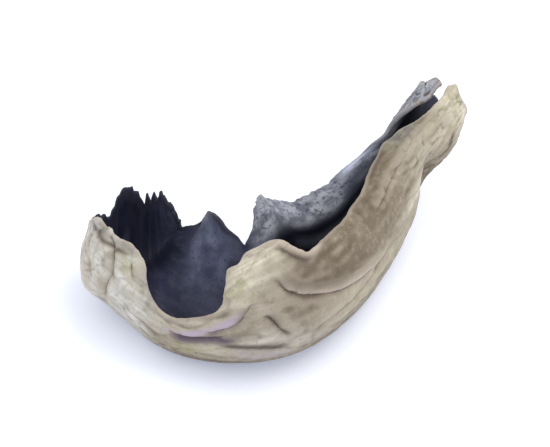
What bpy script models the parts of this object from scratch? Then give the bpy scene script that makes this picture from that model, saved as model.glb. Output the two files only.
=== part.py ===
"""Dried wood ear mushroom: one thin sheet that dried into a curled scoop with a rolled, raised stem end.

Lengths below are millimetres, +X to the right, +Y to the back, +Z up, resting on z = 0.
"""
import bpy
import bmesh
import numpy as np
from mathutils import Vector, geometry, noise

NAME = "wood_ear"
MM = 0.001

# Spacing of the mesh points on the sheet
GRAIN = 1.10
ROW_RATIO = 0.866
INSET = 0.62
OUTLINE_SAMPLES = 600
FAR_AWAY = 1e9
MERGE = 1e-5
TINY = 1e-9

# Sheet thickness
WALL = 1.0
WALL_MARGIN = 0.62
WALL_STEM = 1.3
MARGIN_BAND = 3.2
STEM_BAND = 11.0

# Middle of the footprint, which becomes the origin
CENTRE_X = 1.637
CENTRE_Y = 17.6615

# Flat under the keel
REST_CUT = 0.24
SLAB_SIDE = 90.0
SLAB_DEPTH = 6.0

# Rough length of the sheet and arc per degree round it, for measuring folds in millimetres
LENGTH = 72.0
ARC = 0.12

# Half angle over which the near side blends into the far side at the keel
KEEL_BLEND = 60.0

# Share of the far side at which it turns over into its brim, and how its reach and drop grow from there
BRIM_START = 0.70
BRIM_REACH_CURVE = 1.5
BRIM_DROP_CURVE = 2.0

# Steps along and round the sheet for finding its normal
NORMAL_STEP = 0.002
NORMAL_TURN = 1.0

# The keel and the half section on each side of it, from the stem end (0) to the mouth (1):
# share, keel x, y, z, heading, bearing of the far side, lean,
# near half width, near half height, far half width, far half height, reach and drop of the far brim
STATIONS = np.array([
    (0.00, 22.7, 37.8, 8.2, 248, 158, -14, 3.8, 3.1, 2.8, 2.9, 0.0, 0.0),
    (0.10, 20.6, 32.2, 6.0, 246, 156, -14, 3.5, 4.2, 3.4, 4.2, 0.4, 0.4),
    (0.22, 17.0, 26.2, 2.3, 241, 151, -12, 3.8, 5.6, 4.6, 4.6, 2.2, 1.2),
    (0.34, 13.0, 17.6, 0.2, 232, 142, -10, 4.7, 7.0, 6.4, 6.4, 4.1, 1.4),
    (0.45, 8.0, 8.5, 0.0, 214, 124, -4, 5.8, 7.6, 9.2, 8.4, 5.6, 2.0),
    (0.50, 5.0, 5.1, 0.0, 204, 114, -2, 6.5, 8.0, 9.6, 8.0, 4.9, 1.7),
    (0.56, 0.6, 2.4, 0.0, 192, 102, 0, 6.6, 7.8, 10.2, 7.4, 1.8, 1.4),
    (0.61, -3.58, 1.76, 0.0, 181.8, 93.4, 0, 5.8, 6.3, 11.8, 8.4, 1.4, 0.4),
    (0.67, -8.2, 2.6, 0.0, 169, 84, 0, 4.8, 4.6, 13.6, 8.9, 3.0, 1.8),
    (0.78, -13.3, 6.9, 0.0, 144, 66, 4, 5.5, 5.8, 11.8, 7.6, 2.4, 1.6),
    (0.87, -15.9, 12.2, 0.2, 122, 50, 10, 6.0, 6.2, 8.4, 6.2, 0.6, 0.4),
    (0.94, -17.0, 17.4, 1.0, 106, 30, 24, 5.5, 5.8, 6.8, 5.8, 0.0, 0.0),
    (0.97, -17.1, 19.6, 4.2, 101, 18, 48, 5.1, 5.4, 6.0, 5.2, 0.0, 0.0),
    (1.00, -17.0, 20.6, 10.8, 96, 6, 80, 4.8, 5.0, 5.4, 4.6, 0.0, 0.0),
])

# How far round its section each margin reaches, in degrees from the keel
NEAR_MARGIN = np.array([
    (0.00, 158), (0.05, 160), (0.09, 166), (0.12, 177), (0.18, 198), (0.24, 191), (0.30, 176), (0.36, 165),
    (0.42, 160), (0.48, 157), (0.505, 154), (0.520, 161), (0.535, 175), (0.56, 187), (0.588, 193),
    (0.600, 178), (0.607, 181), (0.613, 182), (0.618, 160), (0.624, 138), (0.636, 130), (0.67, 125),
    (0.71, 121), (0.74, 126), (0.765, 138), (0.79, 151), (0.82, 154), (0.87, 149), (0.92, 145),
    (0.96, 138), (1.00, 122),
])
FAR_MARGIN = np.array([
    (0.00, 184), (0.06, 166), (0.12, 134), (0.18, 112), (0.24, 104), (0.33, 98), (0.40, 104), (0.47, 116),
    (0.53, 104), (0.57, 88), (0.60, 95), (0.63, 97), (0.66, 92), (0.72, 88), (0.88, 88), (0.94, 96),
    (1.00, 98),
])

# How much of the length is torn away at each end, by share across from the near to the far margin
STEM_EDGE = np.array([
    (0.00, 0.002), (0.03, -0.008), (0.07, 0.004), (0.14, 0.010), (0.21, 0.014), (0.26, 0.034),
    (0.34, 0.006), (0.43, -0.012), (0.55, -0.030), (0.64, -0.016), (0.76, -0.024), (0.86, 0.004),
    (0.93, -0.018), (1.00, -0.004),
])
MOUTH_EDGE = np.array([
    (0.00, 0.002), (0.10, 0.008), (0.20, 0.016), (0.30, 0.018), (0.38, 0.016), (0.44, 0.017),
    (0.475, 0.019), (0.50, 0.009), (0.53, 0.003), (0.58, 0.000), (0.66, 0.005), (0.76, 0.000),
    (0.88, 0.006), (1.00, 0.018),
])

# Folds drawn on the sheet as (share of the length, degrees from the keel, near side positive):
# path, lift of the lip on its left, depth, width
FOLDS = (
    (((0.560, 146), (0.545, 127), (0.525, 117), (0.498, 111), (0.470, 104), (0.437, 100), (0.370, 92)),
     0.48, 0.55, 0.80),
    (((0.705, 101), (0.672, 102), (0.645, 101), (0.618, 98)), 0.45, 0.60, 0.75),
    (((0.648, 108), (0.620, 110), (0.605, 113), (0.597, 122), (0.590, 134)), 0.30, 0.40, 0.65),
    (((0.576, 117), (0.562, 102), (0.548, 84)), 0.22, 0.48, 0.65),
    (((0.640, 84), (0.618, 81), (0.600, 76), (0.581, 72), (0.560, 68), (0.535, 67)), 0.25, 0.40, 0.75),
    (((0.050, 122), (0.095, 114), (0.135, 106), (0.165, 88), (0.184, 62), (0.192, 36)), 0.50, 0.45, 0.80),
    (((0.908, 148), (0.868, 141), (0.846, 130), (0.834, 116), (0.841, 94), (0.840, 66)), 0.20, 0.65, 0.75),
    (((0.842, 158), (0.820, 148), (0.788, 128), (0.768, 98)), 0.10, 0.18, 0.80),
    (((0.962, 122), (0.930, 120), (0.890, 108), (0.862, 82)), 0.10, 0.22, 0.80),
    (((0.080, 150), (0.170, 156), (0.280, 146), (0.360, 132)), 0.12, 0.22, 0.80),
    (((0.330, 92), (0.400, 84), (0.470, 80), (0.520, 74)), 0.30, 0.45, 0.90),
    (((0.050, 56), (0.180, 66), (0.300, 60), (0.400, 44)), 0.30, 0.45, 1.00),
    (((0.040, -20), (0.140, -10), (0.240, -24), (0.360, -34), (0.480, -42)), 0.45, 0.55, 1.10),
    (((0.140, -60), (0.260, -62), (0.360, -54), (0.450, -72)), 0.40, 0.55, 1.00),
    (((0.560, -70), (0.590, -48), (0.600, -26)), 0.40, 0.55, 1.20),
    (((0.985, -6), (0.958, 8), (0.930, 26), (0.900, 48)), 0.35, 0.50, 1.00),
)
FOLD_FADE = 0.16
LIP_START = 0.2
LIP_TAIL = 1.8
TRENCH_SHIFT = 0.35

# Broad swellings and dents: place, degrees from the keel, reach along and round, height
SWELLINGS = (
    (0.170, 69, 3.2, 4.6, -2.5),
    (0.105, 70, 2.8, 3.0, 0.3),
    (0.882, 72, 2.0, 2.4, 0.8),
    (0.450, 96, 6.0, 2.6, 0.35),
    (0.905, 96, 3.0, 4.0, 0.4),
    (0.780, 70, 4.0, 3.0, -0.4),
    (0.380, -70, 5.0, 3.0, 0.6),
    (0.180, -50, 5.0, 3.0, -0.5),
)

# Broad wrinkles, stretched along the length, and a finer set over them
WRINKLE = 0.27
WRINKLE_LONG = 11.0
WRINKLE_SHORT = 3.8
FINE_WRINKLE = 0.15
FINE_RATIO = 2.2

# Ruffled margins with an uneven rim, in degrees round the section
RUFFLE = 0.55
RUFFLE_LENGTH = 3.0
RUFFLE_ROUND = 14.0
RUFFLE_BAND = 5.5
RIM_ROUGHNESS = 3.4
RIM_LENGTH = 3.3

# Starting points of the noise
WRINKLE_SEED = 1.3
FINE_SEED = 5.9
RUFFLE_SEED = 2.2
NEAR_SEED = 3.7
FAR_SEED = 8.1

# The part of the keel that lies on the table stays smooth
KEEL_START = 0.27
KEEL_END = 0.94
KEEL_FADE = 0.06
KEEL_HALF = 9.0
KEEL_SOFT = 34.0

# The far side of the bend, where the sheet is gathered, keeps its wrinkles low
BEND_START = 0.64
BEND_END = 0.97
BEND_FADE = 0.06
BEND_NEAR = 12.0
BEND_FAR = 60.0
BEND_CALM = 0.75

# Rolled lip on the near margin beside the slit
LIP_CENTRE = 0.512
LIP_SPAN = 0.034
LIP_BAND = 14.0
LIP_ROLL = 0.6


def spline(table, at):
    """Natural cubic through the rows of a table: first column is the place, the rest are values."""
    place, value = table[:, 0], table[:, 1:]
    count = len(place)
    gap = np.diff(place)
    system = np.zeros((count, count))
    target = np.zeros((count, value.shape[1]))
    system[0, 0] = system[-1, -1] = 1
    for i in range(1, count - 1):
        system[i, i - 1:i + 2] = gap[i - 1], 2 * (gap[i - 1] + gap[i]), gap[i]
        target[i] = 6 * ((value[i + 1] - value[i]) / gap[i] - (value[i] - value[i - 1]) / gap[i - 1])
    bend = np.linalg.solve(system, target)
    k = np.clip(np.searchsorted(place, at, side="right") - 1, 0, count - 2)
    step = (at - place[k])[:, None]
    width = gap[k][:, None]
    slope = (value[k + 1] - value[k]) / width - width * (2 * bend[k] + bend[k + 1]) / 6
    curl = step ** 2 * bend[k] / 2 + step ** 3 * (bend[k + 1] - bend[k]) / (6 * width)
    return value[k] + step * slope + curl


def steady(table, at):
    """Cubic through (place, value) rows that never overshoots them."""
    place, value = table[:, 0], table[:, 1]
    gap = np.diff(place)
    rise = np.diff(value) / gap
    slope = np.zeros(len(place))
    slope[0], slope[-1] = rise[0], rise[-1]
    for i in range(1, len(place) - 1):
        if rise[i - 1] * rise[i] > 0:
            before, after = 2 * gap[i] + gap[i - 1], gap[i] + 2 * gap[i - 1]
            slope[i] = (before + after) / (before / rise[i - 1] + after / rise[i])
    k = np.clip(np.searchsorted(place, at, side="right") - 1, 0, len(place) - 2)
    s = (at - place[k]) / gap[k]
    ends = (1 + 2 * s) * (1 - s) ** 2 * value[k] + s ** 2 * (3 - 2 * s) * value[k + 1]
    return ends + gap[k] * (s * (1 - s) ** 2 * slope[k] + s ** 2 * (s - 1) * slope[k + 1])


def smooth(x, low, high):
    s = np.clip((x - low) / (high - low), 0, 1)
    return s * s * (3 - 2 * s)


def between(x, start, end, fade):
    """1 well inside start to end, easing to 0 at both."""
    return smooth(x, start, start + fade) * (1 - smooth(x, end - fade, end))


def noise_field(x, y, seed):
    """Smooth noise in -1 to 1 at each (x, y)."""
    return np.array([noise.noise((float(a), float(b), seed)) for a, b in zip(x, y)])


def fold_offset(place, angle):
    """Offset of the sheet along its outward normal from the drawn folds."""
    offset = np.zeros(len(place))
    here = np.stack([place * LENGTH, -angle * ARC], 1)
    for path, lift, depth, width in FOLDS:
        points = np.array(path) * (LENGTH, -ARC)
        best = np.full(len(here), FAR_AWAY)
        side = np.zeros(len(here))
        run = np.zeros(len(here))
        total = np.linalg.norm(np.diff(points, axis=0), axis=1)
        start = np.concatenate([[0], np.cumsum(total)])
        for k in range(len(points) - 1):
            leg = points[k + 1] - points[k]
            t = np.clip((here - points[k]) @ leg / (leg @ leg), 0, 1)
            away = here - points[k] - t[:, None] * leg
            distance = np.linalg.norm(away, axis=1)
            closer = distance < best
            best = np.where(closer, distance, best)
            side = np.where(closer, np.sign(leg[0] * away[:, 1] - leg[1] * away[:, 0]), side)
            run = np.where(closer, (start[k] + t * total[k]) / start[-1], run)
        d = best * side
        fade = between(run, 0.0, 1.0, FOLD_FADE)
        lip = lift * smooth(d, -LIP_START * width, width) * np.exp(-np.clip(d, 0, None) / (LIP_TAIL * width))
        trench = depth * np.exp(-((d + TRENCH_SHIFT * width) / width) ** 2)
        offset += fade * (lip - trench)
    return offset


def swelling_offset(place, angle):
    """Offset of the sheet along its outward normal from the broad swellings and dents."""
    offset = np.zeros(len(place))
    for centre, turn, reach_long, reach_round, height in SWELLINGS:
        long_way = (place - centre) * LENGTH / reach_long
        round_way = (angle - turn) * ARC / reach_round
        offset += height * np.exp(-long_way ** 2 - round_way ** 2)
    return offset


def margins(place):
    """Angles from the keel to the near margin and to the far margin, which is negative."""
    run = place * LENGTH / RIM_LENGTH
    near = steady(NEAR_MARGIN, place) + RIM_ROUGHNESS * noise_field(run, 0 * run, NEAR_SEED)
    far = steady(FAR_MARGIN, place) + RIM_ROUGHNESS * noise_field(run, 0 * run, FAR_SEED)
    return near, -far


def middle(place, angle):
    """Middle of the unwrinkled sheet at a place along it and an angle round it."""
    x, y, z, heading, bearing, lean, near_w, near_h, far_w, far_h, reach, drop = spline(STATIONS, place).T
    turn = np.radians(angle)
    out = np.where(angle > 0, near_w, far_w) * np.sin(turn)
    rise = np.where(angle > 0, near_h, far_h) * (1 - np.cos(turn))
    brim = np.clip((-angle / steady(FAR_MARGIN, place) - BRIM_START) / (1 - BRIM_START), 0, None)
    out -= reach * brim ** BRIM_REACH_CURVE
    rise -= drop * brim ** BRIM_DROP_CURVE
    heading, lean, bearing = np.radians(heading), np.radians(lean), np.radians(bearing)
    near_side = np.stack([-np.sin(heading), np.cos(heading), 0 * heading], 1)
    far_side = np.stack([-np.cos(bearing), -np.sin(bearing), 0 * heading], 1)
    blend = smooth(angle, -KEEL_BLEND, KEEL_BLEND)[:, None]
    side = blend * near_side + (1 - blend) * far_side
    up = np.stack([-np.cos(heading) * np.sin(lean), -np.sin(heading) * np.sin(lean), np.cos(lean)], 1)
    return np.stack([x, y, z], 1) + out[:, None] * side + rise[:, None] * up


def outward(place, angle):
    """Unit normal of the sheet, pointing to the felted outside."""
    long_way = middle(place + NORMAL_STEP, angle) - middle(place - NORMAL_STEP, angle)
    cross_way = middle(place, angle - NORMAL_TURN) - middle(place, angle + NORMAL_TURN)
    normal = np.cross(long_way, cross_way)
    return normal / np.maximum(np.linalg.norm(normal, axis=1), TINY)[:, None]


def keel_rest(place, angle):
    """1 on the part of the keel that lies on the table, 0 away from it."""
    round_way = 1 - smooth(np.abs(angle), KEEL_HALF, KEEL_SOFT)
    return round_way * between(place, KEEL_START, KEEL_END, KEEL_FADE)


def gathered(place, angle):
    """1 on the far side of the bend, where the sheet is gathered, 0 away from it."""
    return smooth(-angle, BEND_NEAR, BEND_FAR) * between(place, BEND_START, BEND_END, BEND_FADE)


def resampled(points, step):
    """The same curve with points about one step apart."""
    run = np.concatenate([[0], np.cumsum(np.linalg.norm(np.diff(points, axis=0), axis=1))])
    at = np.linspace(0, run[-1], max(2, round(run[-1] / step)) + 1)
    return np.stack([np.interp(at, run, points[:, 0]), np.interp(at, run, points[:, 1])], 1)


def flat_point(place, across):
    """Place on the flattened sheet, in millimetres along and round it."""
    near, far = margins(place)
    return np.stack([place * LENGTH, -ARC * (near + (far - near) * across)], 1)


def outline(step):
    """Closed outline of the flattened sheet, anticlockwise."""
    share = np.linspace(0, 1, OUTLINE_SAMPLES)
    stem, mouth = steady(STEM_EDGE, share), 1 - steady(MOUTH_EDGE, share)
    zero, one = np.zeros(OUTLINE_SAMPLES), np.ones(OUTLINE_SAMPLES)
    near_side = flat_point(stem[0] + (mouth[0] - stem[0]) * share, zero)
    far_side = flat_point(mouth[-1] + (stem[-1] - mouth[-1]) * share, one)
    sides = near_side, flat_point(mouth, share), far_side, flat_point(stem, share)[::-1]
    return np.concatenate([resampled(side, step)[:-1] for side in sides])


def edge_distance(here, border):
    """Distance of flattened places from the outline."""
    best = np.full(len(here), FAR_AWAY)
    for a, b in zip(border, np.roll(border, -1, axis=0)):
        leg = b - a
        t = np.clip((here - a) @ leg / (leg @ leg), 0, 1)
        best = np.minimum(best, np.linalg.norm(here - a - t[:, None] * leg, axis=1))
    return best


def flat_mesh(step):
    """Even triangles over the flattened sheet: points, faces, distance of each point from the outline."""
    border = outline(step)
    low, high = border.min(0), border.max(0)
    rows = np.arange(low[1], high[1], step * ROW_RATIO)
    columns = np.arange(low[0], high[0], step)
    grid = np.array([(x + step / 2 * (k % 2), y) for k, y in enumerate(rows) for x in columns])
    grid = grid[inside(grid) & (edge_distance(grid, border) > INSET * step)]
    flat = [Vector(p) for p in np.concatenate([border, grid])]
    made = geometry.delaunay_2d_cdt(flat, [], [list(range(len(border)))], 1, MERGE)
    points = np.array([tuple(p) for p in made[0]])
    return points, made[2], edge_distance(points, border)


def inside(flat):
    """Whether flattened places lie on the sheet."""
    place = flat[:, 0] / LENGTH
    near, far = margins(place)
    across = (-flat[:, 1] / ARC - near) / (far - near)
    share = np.clip(across, 0, 1)
    long_way = (place > steady(STEM_EDGE, share)) & (place < 1 - steady(MOUTH_EDGE, share))
    return (across > 0) & (across < 1) & long_way


def sheet(flat, edge):
    """Middle of the wrinkled sheet at flattened places with their distance from the outline."""
    place, angle = flat[:, 0] / LENGTH, -flat[:, 1] / ARC
    near, _ = margins(place)
    run, girth = flat[:, 0], flat[:, 1]
    coarse = run / WRINKLE_LONG, girth / WRINKLE_SHORT
    offset = fold_offset(place, angle) + swelling_offset(place, angle)
    offset += WRINKLE * noise_field(*coarse, WRINKLE_SEED)
    offset += FINE_WRINKLE * noise_field(FINE_RATIO * coarse[0], FINE_RATIO * coarse[1], FINE_SEED)
    ruffle = RUFFLE * noise_field(run / RUFFLE_LENGTH, girth / RUFFLE_ROUND, RUFFLE_SEED)
    offset += ruffle * (1 - smooth(edge, 0.0, RUFFLE_BAND))
    lip = np.exp(-((place - LIP_CENTRE) / LIP_SPAN) ** 2) * (1 - smooth(near - angle, 0.0, LIP_BAND))
    offset += LIP_ROLL * lip
    offset *= (1 - keel_rest(place, angle)) * (1 - BEND_CALM * gathered(place, angle))
    return middle(place, angle) + offset[:, None] * outward(place, angle)


def thickness(flat, edge):
    """Sheet thickness: thinner at the margins, thicker where it grew on the wood."""
    inner = smooth(edge, 0.0, MARGIN_BAND)
    stem = 1 - smooth(flat[:, 0], 0.0, STEM_BAND)
    return WALL_MARGIN + (WALL - WALL_MARGIN) * inner + (WALL_STEM - WALL) * stem * inner


def material(name, colour, roughness):
    made = bpy.data.materials.new(name)
    made.use_nodes = True
    shader = made.node_tree.nodes["Principled BSDF"]
    shader.inputs["Base Color"].default_value = (*colour, 1)
    shader.inputs["Roughness"].default_value = roughness
    return made


def collection(name):
    made = bpy.data.collections.new(name)
    bpy.context.scene.collection.children.link(made)
    return made


def build_sheet(home, skin):
    """The whole mushroom: an even mesh bent into the curled sheet, thickened on both sides."""
    flat, faces, edge = flat_mesh(GRAIN)
    mesh = bpy.data.meshes.new(NAME)
    body = bmesh.new()
    verts = [body.verts.new(point * MM) for point in sheet(flat, edge)]
    for face in faces:
        body.faces.new([verts[i] for i in face])
    body.to_mesh(mesh)
    body.free()
    mesh.materials.append(skin)
    made = bpy.data.objects.new(NAME, mesh)
    home.objects.link(made)
    group = made.vertex_groups.new(name="thickness")
    for i, wall in enumerate(thickness(flat, edge)):
        group.add([i], float(wall / WALL_STEM), "REPLACE")
    solid = made.modifiers.new("wall", "SOLIDIFY")
    solid.thickness = WALL_STEM * MM
    solid.offset = 0
    solid.use_rim = True
    solid.vertex_group = group.name
    return made


def build_cutter(home):
    """Slab below the table that leaves a flat to rest on."""
    mesh = bpy.data.meshes.new("table_slab")
    body = bmesh.new()
    bmesh.ops.create_cube(body, size=1)
    for vert in body.verts:
        vert.co.x *= SLAB_SIDE * MM
        vert.co.y *= SLAB_SIDE * MM
        vert.co.z = (vert.co.z - 0.5) * SLAB_DEPTH * MM
    body.to_mesh(mesh)
    body.free()
    made = bpy.data.objects.new("table_slab", mesh)
    home.objects.link(made)
    made.hide_render = True
    made.display_type = "WIRE"
    return made


for old in list(bpy.data.objects):
    bpy.data.objects.remove(old, do_unlink=True)

parts = collection("dried_wood_ear")
tools = collection("cutters")
skin = material("dried_flesh", (0.30, 0.24, 0.17), 0.85)
ear = build_sheet(parts, skin)

slab = build_cutter(tools)
cut = ear.modifiers.new("rest", "BOOLEAN")
cut.operation = "DIFFERENCE"
cut.solver = "EXACT"
cut.object = slab

lowest = min(v.co.z for v in ear.data.vertices) - WALL * MM / 2
for v in ear.data.vertices:
    v.co -= Vector((CENTRE_X * MM, CENTRE_Y * MM, lowest + REST_CUT * MM))
ear.data.shade_smooth()
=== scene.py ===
"""Dried wood ear mushroom on a white table: felted tan outside, smooth blue-black inside, in soft daylight.

The sheet is built from the same named values as the solid, in a finer mesh. Lengths are millimetres,
and metres for the table, the window and the camera.
"""
import math
from collections import namedtuple

import bpy
import numpy as np
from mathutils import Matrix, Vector, geometry, noise


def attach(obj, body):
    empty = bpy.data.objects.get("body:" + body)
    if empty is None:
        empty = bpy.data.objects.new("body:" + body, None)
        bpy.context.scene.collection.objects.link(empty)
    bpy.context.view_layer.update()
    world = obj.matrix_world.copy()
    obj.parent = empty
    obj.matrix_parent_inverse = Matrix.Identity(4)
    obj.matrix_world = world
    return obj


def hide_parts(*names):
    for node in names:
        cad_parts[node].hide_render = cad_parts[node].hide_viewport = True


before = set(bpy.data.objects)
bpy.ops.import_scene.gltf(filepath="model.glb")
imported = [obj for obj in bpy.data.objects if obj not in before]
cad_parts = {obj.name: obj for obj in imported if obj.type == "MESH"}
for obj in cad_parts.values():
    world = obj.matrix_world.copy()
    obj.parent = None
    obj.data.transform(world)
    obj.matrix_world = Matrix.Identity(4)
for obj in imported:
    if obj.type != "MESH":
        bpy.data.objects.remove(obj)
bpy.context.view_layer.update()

MM = 0.001
NODE = "wood_ear"

GRAIN = 0.25
ROW_RATIO = 0.866
INSET = 0.62

# Samples on each side of the outline, a distance beyond all others, how near points are merged, and the
# least length to divide by
OUTLINE_SAMPLES = 600
FAR_AWAY = 1e9
MERGE = 1e-5
TINY = 1e-9

# Sheet thickness
WALL = 1.0
WALL_MARGIN = 0.62
WALL_STEM = 1.3
MARGIN_BAND = 3.2
STEM_BAND = 11.0

# Middle of the footprint, which becomes the origin
CENTRE_X = 1.637
CENTRE_Y = 17.6615

# Depth of the flat cut under the keel
REST_CUT = 0.24

# Rough length of the sheet and arc per degree round it, for measuring folds in millimetres
LENGTH = 72.0
ARC = 0.12

# Half angle over which the near side blends into the far side at the keel
KEEL_BLEND = 60.0

# Share of the far side at which it turns over into its brim, and how its reach and drop grow from there
BRIM_START = 0.70
BRIM_REACH_CURVE = 1.5
BRIM_DROP_CURVE = 2.0

# Steps along and round the sheet for finding its normal
NORMAL_STEP = 0.002
NORMAL_TURN = 1.0

# The keel and the half section on each side of it, from the stem end (0) to the mouth (1):
# share, keel x, y, z, heading, bearing of the far side, lean,
# near half width, near half height, far half width, far half height, reach and drop of the far brim
STATIONS = np.array([
    (0.00, 22.7, 37.8, 8.2, 248, 158, -14, 3.8, 3.1, 2.8, 2.9, 0.0, 0.0),
    (0.10, 20.6, 32.2, 6.0, 246, 156, -14, 3.5, 4.2, 3.4, 4.2, 0.4, 0.4),
    (0.22, 17.0, 26.2, 2.3, 241, 151, -12, 3.8, 5.6, 4.6, 4.6, 2.2, 1.2),
    (0.34, 13.0, 17.6, 0.2, 232, 142, -10, 4.7, 7.0, 6.4, 6.4, 4.1, 1.4),
    (0.45, 8.0, 8.5, 0.0, 214, 124, -4, 5.8, 7.6, 9.2, 8.4, 5.6, 2.0),
    (0.50, 5.0, 5.1, 0.0, 204, 114, -2, 6.5, 8.0, 9.6, 8.0, 4.9, 1.7),
    (0.56, 0.6, 2.4, 0.0, 192, 102, 0, 6.6, 7.8, 10.2, 7.4, 1.8, 1.4),
    (0.61, -3.58, 1.76, 0.0, 181.8, 93.4, 0, 5.8, 6.3, 11.8, 8.4, 1.4, 0.4),
    (0.67, -8.2, 2.6, 0.0, 169, 84, 0, 4.8, 4.6, 13.6, 8.9, 3.0, 1.8),
    (0.78, -13.3, 6.9, 0.0, 144, 66, 4, 5.5, 5.8, 11.8, 7.6, 2.4, 1.6),
    (0.87, -15.9, 12.2, 0.2, 122, 50, 10, 6.0, 6.2, 8.4, 6.2, 0.6, 0.4),
    (0.94, -17.0, 17.4, 1.0, 106, 30, 24, 5.5, 5.8, 6.8, 5.8, 0.0, 0.0),
    (0.97, -17.1, 19.6, 4.2, 101, 18, 48, 5.1, 5.4, 6.0, 5.2, 0.0, 0.0),
    (1.00, -17.0, 20.6, 10.8, 96, 6, 80, 4.8, 5.0, 5.4, 4.6, 0.0, 0.0),
])

# How far round its section each margin reaches, in degrees from the keel
NEAR_MARGIN = np.array([
    (0.00, 158), (0.05, 160), (0.09, 166), (0.12, 177), (0.18, 198), (0.24, 191), (0.30, 176), (0.36, 165),
    (0.42, 160), (0.48, 157), (0.505, 154), (0.520, 161), (0.535, 175), (0.56, 187), (0.588, 193),
    (0.600, 178), (0.607, 181), (0.613, 182), (0.618, 160), (0.624, 138), (0.636, 130), (0.67, 125),
    (0.71, 121), (0.74, 126), (0.765, 138), (0.79, 151), (0.82, 154), (0.87, 149), (0.92, 145),
    (0.96, 138), (1.00, 122),
])
FAR_MARGIN = np.array([
    (0.00, 184), (0.06, 166), (0.12, 134), (0.18, 112), (0.24, 104), (0.33, 98), (0.40, 104), (0.47, 116),
    (0.53, 104), (0.57, 88), (0.60, 95), (0.63, 97), (0.66, 92), (0.72, 88), (0.88, 88), (0.94, 96),
    (1.00, 98),
])

# How much of the length is torn away at each end, by share across from the near to the far margin
STEM_EDGE = np.array([
    (0.00, 0.002), (0.03, -0.008), (0.07, 0.004), (0.14, 0.010), (0.21, 0.014), (0.26, 0.034),
    (0.34, 0.006), (0.43, -0.012), (0.55, -0.030), (0.64, -0.016), (0.76, -0.024), (0.86, 0.004),
    (0.93, -0.018), (1.00, -0.004),
])
MOUTH_EDGE = np.array([
    (0.00, 0.002), (0.10, 0.008), (0.20, 0.016), (0.30, 0.018), (0.38, 0.016), (0.44, 0.017),
    (0.475, 0.019), (0.50, 0.009), (0.53, 0.003), (0.58, 0.000), (0.66, 0.005), (0.76, 0.000),
    (0.88, 0.006), (1.00, 0.018),
])

# Folds drawn on the sheet as (share of the length, degrees from the keel, near side positive):
# path, lift of the lip on its left, depth, width
FOLDS = (
    (((0.560, 149), (0.545, 130), (0.525, 120), (0.498, 113), (0.470, 106), (0.437, 101), (0.370, 93)),
     0.48, 0.55, 0.80),
    (((0.705, 101), (0.672, 102), (0.645, 101), (0.618, 98)), 0.45, 0.60, 0.75),
    (((0.648, 108), (0.620, 110), (0.605, 113), (0.597, 122), (0.590, 134)), 0.30, 0.40, 0.65),
    (((0.576, 117), (0.562, 102), (0.548, 84)), 0.22, 0.48, 0.65),
    (((0.640, 84), (0.618, 81), (0.600, 76), (0.581, 72), (0.560, 68), (0.535, 67)), 0.25, 0.40, 0.75),
    (((0.050, 122), (0.095, 114), (0.135, 106), (0.165, 88), (0.184, 62), (0.192, 36)), 0.50, 0.45, 0.80),
    (((0.908, 148), (0.868, 141), (0.846, 130), (0.834, 116), (0.841, 94), (0.840, 66)), 0.20, 0.65, 0.75),
    (((0.842, 158), (0.820, 148), (0.788, 128), (0.768, 98)), 0.10, 0.18, 0.80),
    (((0.962, 122), (0.930, 120), (0.890, 108), (0.862, 82)), 0.10, 0.22, 0.80),
    (((0.080, 150), (0.170, 156), (0.280, 146), (0.360, 132)), 0.12, 0.22, 0.80),
    (((0.330, 92), (0.400, 84), (0.470, 80), (0.520, 74)), 0.30, 0.45, 0.90),
    (((0.050, 56), (0.180, 66), (0.300, 60), (0.400, 44)), 0.30, 0.45, 1.00),
    (((0.040, -20), (0.140, -10), (0.240, -24), (0.360, -34), (0.480, -42)), 0.45, 0.55, 1.10),
    (((0.140, -60), (0.260, -62), (0.360, -54), (0.450, -72)), 0.40, 0.55, 1.00),
    (((0.560, -70), (0.590, -48), (0.600, -26)), 0.40, 0.55, 1.20),
    (((0.985, -6), (0.958, 8), (0.930, 26), (0.900, 48)), 0.35, 0.50, 1.00),
)
FOLD_FADE = 0.16
LIP_START = 0.2
LIP_TAIL = 1.2
TRENCH_SHIFT = 0.35

# Broad swellings and dents: place, degrees from the keel, reach along and round, height
SWELLINGS = (
    (0.170, 69, 3.2, 4.6, -2.5),
    (0.105, 70, 2.8, 3.0, 0.3),
    (0.882, 72, 2.0, 2.4, 0.8),
    (0.450, 96, 6.0, 2.6, 0.35),
    (0.905, 96, 3.0, 4.0, 0.4),
    (0.780, 70, 4.0, 3.0, -0.4),
    (0.380, -70, 5.0, 3.0, 0.6),
    (0.180, -50, 5.0, 3.0, -0.5),
)

# Broad wrinkles, stretched along the length, and a finer set over them
WRINKLE = 0.27
WRINKLE_LONG = 11.0
WRINKLE_SHORT = 3.8
FINE_WRINKLE = 0.08
FINE_RATIO = 2.2

# Ruffled margins with an uneven rim, in degrees round the section
RUFFLE = 0.55
RUFFLE_LENGTH = 3.0
RUFFLE_ROUND = 14.0
RUFFLE_BAND = 5.5
RIM_ROUGHNESS = 3.4
RIM_LENGTH = 3.3

# Starting points of the noise
WRINKLE_SEED = 1.3
FINE_SEED = 5.9
RUFFLE_SEED = 2.2
NEAR_SEED = 3.7
FAR_SEED = 8.1
TOOTH_SEED = 4.4
FINE_TOOTH_SEED = 9.3
STREAK_SEED = 11.7
CRUMPLE_SEED = 12.9
WARP_SEED = 13.1
CREASE_SEED = 14.3
RIPPLE_SEED = 15.7
LUMP_SEED = 16.9

# The part of the keel that lies on the table stays smooth
KEEL_START = 0.27
KEEL_END = 0.94
KEEL_FADE = 0.06
KEEL_HALF = 9.0
KEEL_SOFT = 34.0

# The far side of the bend, where the sheet is gathered, keeps its wrinkles low
BEND_START = 0.64
BEND_END = 0.97
BEND_FADE = 0.06
BEND_NEAR = 12.0
BEND_FAR = 60.0
BEND_CALM = 0.75

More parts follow.
